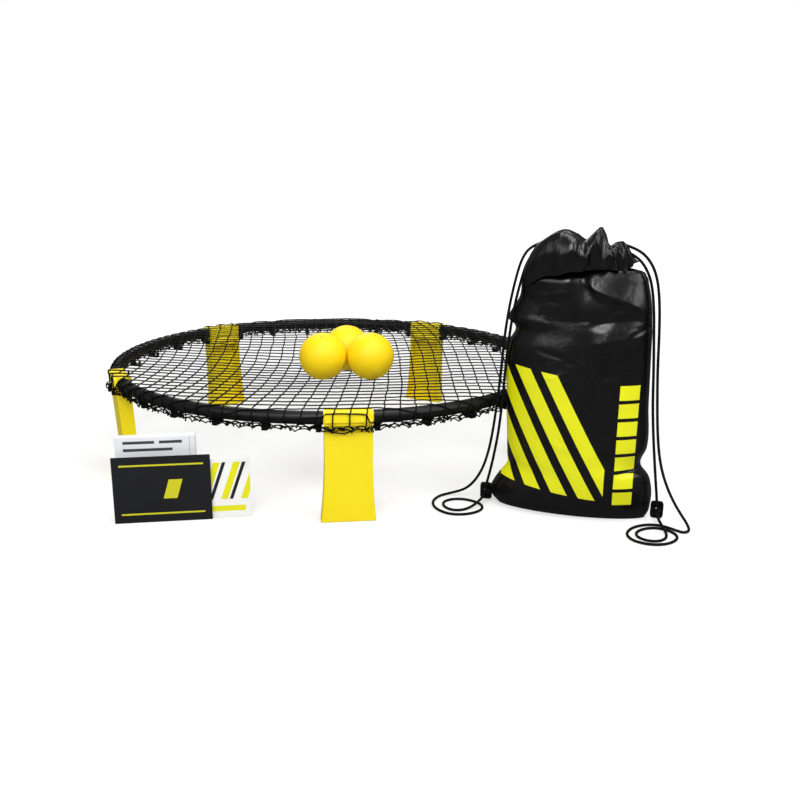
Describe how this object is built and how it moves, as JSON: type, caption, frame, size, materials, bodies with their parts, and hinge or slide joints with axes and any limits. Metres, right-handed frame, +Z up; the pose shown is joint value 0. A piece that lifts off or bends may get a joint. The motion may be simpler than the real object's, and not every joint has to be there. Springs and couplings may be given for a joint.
{
  "type": "roundnet set",
  "caption": "Round net game with folding legs and hooked string net, air-filled balls, a drawstring sack and folded paper pieces.",
  "frame": {"origin": "centre of the whole set's footprint on the ground, without the sack's cords", "axes": "+Z up, +X to the right seen from the front, -Y towards the front leg"},
  "size_m": [1.0283, 1.059, 0.49],
  "materials": {
    "ring_tube": "satin black moulded tube",
    "leg_moulding": "satin yellow injection moulding",
    "pin_steel": "plated steel rod",
    "hook_moulding": "matt black moulding",
    "net_string": "twisted nylon string",
    "valve_rubber": "matt rubber plug",
    "ball_rubber": "smooth soft vinyl-like rubber",
    "eyelet_metal": "black painted eyelet",
    "sack_nylon": "coated nylon with a satin sheen",
    "cord_braid": "round braided polyester cord",
    "title_card": "smooth printed card",
    "sticker": "coated paper with a plain print",
    "leaflet": "uncoated folded paper"
  },
  "bodies": {
    "ring": {"hinge_pin_1": "pin_steel", "hinge_pin_2": "pin_steel", "hinge_pin_3": "pin_steel", "hinge_pin_4": "pin_steel", "hinge_pin_5": "pin_steel", "leg_collar_1": "leg_moulding", "leg_collar_2": "leg_moulding", "leg_collar_3": "leg_moulding", "leg_collar_4": "leg_moulding", "leg_collar_5": "leg_moulding", "net": "net_string", "net_hooks_1": "hook_moulding", "net_hooks_2": "hook_moulding", "net_hooks_3": "hook_moulding", "net_hooks_4": "hook_moulding", "net_hooks_5": "hook_moulding", "rim_tube_1": "ring_tube", "rim_tube_2": "ring_tube", "rim_tube_3": "ring_tube", "rim_tube_4": "ring_tube", "rim_tube_5": "ring_tube"},
    "leg_1_body": {"leg_1": "leg_moulding"},
    "leg_2_body": {"leg_2": "leg_moulding"},
    "leg_3_body": {"leg_3": "leg_moulding"},
    "leg_4_body": {"leg_4": "leg_moulding"},
    "leg_5_body": {"leg_5": "leg_moulding"},
    "ball_1_body": {"ball_1": "ball_rubber", "ball_valve_1": "valve_rubber"},
    "ball_2_body": {"ball_2": "ball_rubber", "ball_valve_2": "valve_rubber"},
    "ball_3_body": {"ball_3": "ball_rubber", "ball_valve_3": "valve_rubber"},
    "bag": {"bag_body": "sack_nylon", "bag_eyelet_left": "eyelet_metal", "bag_eyelet_right": "eyelet_metal", "bag_tab_left": "sack_nylon", "bag_tab_right": "sack_nylon", "cord_knot_left": "cord_braid", "cord_knot_right": "cord_braid", "cord_left_slack": "cord_braid", "cord_left_tight": "cord_braid", "cord_right_slack": "cord_braid", "cord_right_tight": "cord_braid"},
    "title_card_body": {"title_card": "title_card"},
    "sticker_body": {"sticker": "sticker"},
    "instruction_leaflet_body": {"instruction_leaflet": "leaflet"}
  },
  "joints": [
    {"name": "leg_1_fold", "type": "hinge", "parent": "ring", "child": "leg_1_body", "pos_m": [-0.0425, -0.4159, 0.168], "axis": [1, 0, 0], "range_deg": [0, 90]},
    {"name": "leg_2_fold", "type": "hinge", "parent": "ring", "child": "leg_2_body", "pos_m": [0.37216, -0.11463, 0.168], "axis": [0.309, 0.9511, 0], "range_deg": [0, 90]},
    {"name": "leg_3_fold", "type": "hinge", "parent": "ring", "child": "leg_3_body", "pos_m": [0.21377, 0.37283, 0.168], "axis": [-0.809, 0.5878, 0], "range_deg": [0, 90]},
    {"name": "leg_4_fold", "type": "hinge", "parent": "ring", "child": "leg_4_body", "pos_m": [-0.29877, 0.37283, 0.168], "axis": [-0.809, -0.5878, 0], "range_deg": [0, 90]},
    {"name": "leg_5_fold", "type": "hinge", "parent": "ring", "child": "leg_5_body", "pos_m": [-0.45716, -0.11463, 0.168], "axis": [0.309, -0.9511, 0], "range_deg": [0, 90]},
    {"name": "ball_1_lift", "type": "slide", "parent": "ring", "child": "ball_1_body", "axis": [0, 0, 1], "range_m": [0, 0.3]},
    {"name": "ball_2_lift", "type": "slide", "parent": "ring", "child": "ball_2_body", "axis": [0, 0, 1], "range_m": [0, 0.3]},
    {"name": "ball_3_lift", "type": "slide", "parent": "ring", "child": "ball_3_body", "axis": [0, 0, 1], "range_m": [0, 0.3]},
    {"name": "bag_lift", "type": "slide", "parent": "ring", "child": "bag", "axis": [0, 0, 1], "range_m": [0, 0.06]},
    {"name": "title_card_lift", "type": "slide", "parent": "ring", "child": "title_card_body", "axis": [0, 0, 1], "range_m": [0, 0.05]},
    {"name": "sticker_lift", "type": "slide", "parent": "ring", "child": "sticker_body", "axis": [0, 0, 1], "range_m": [0, 0.05]},
    {"name": "instruction_leaflet_lift", "type": "slide", "parent": "ring", "child": "instruction_leaflet_body", "axis": [0, 0, 1], "range_m": [0, 0.05]}
  ]
}
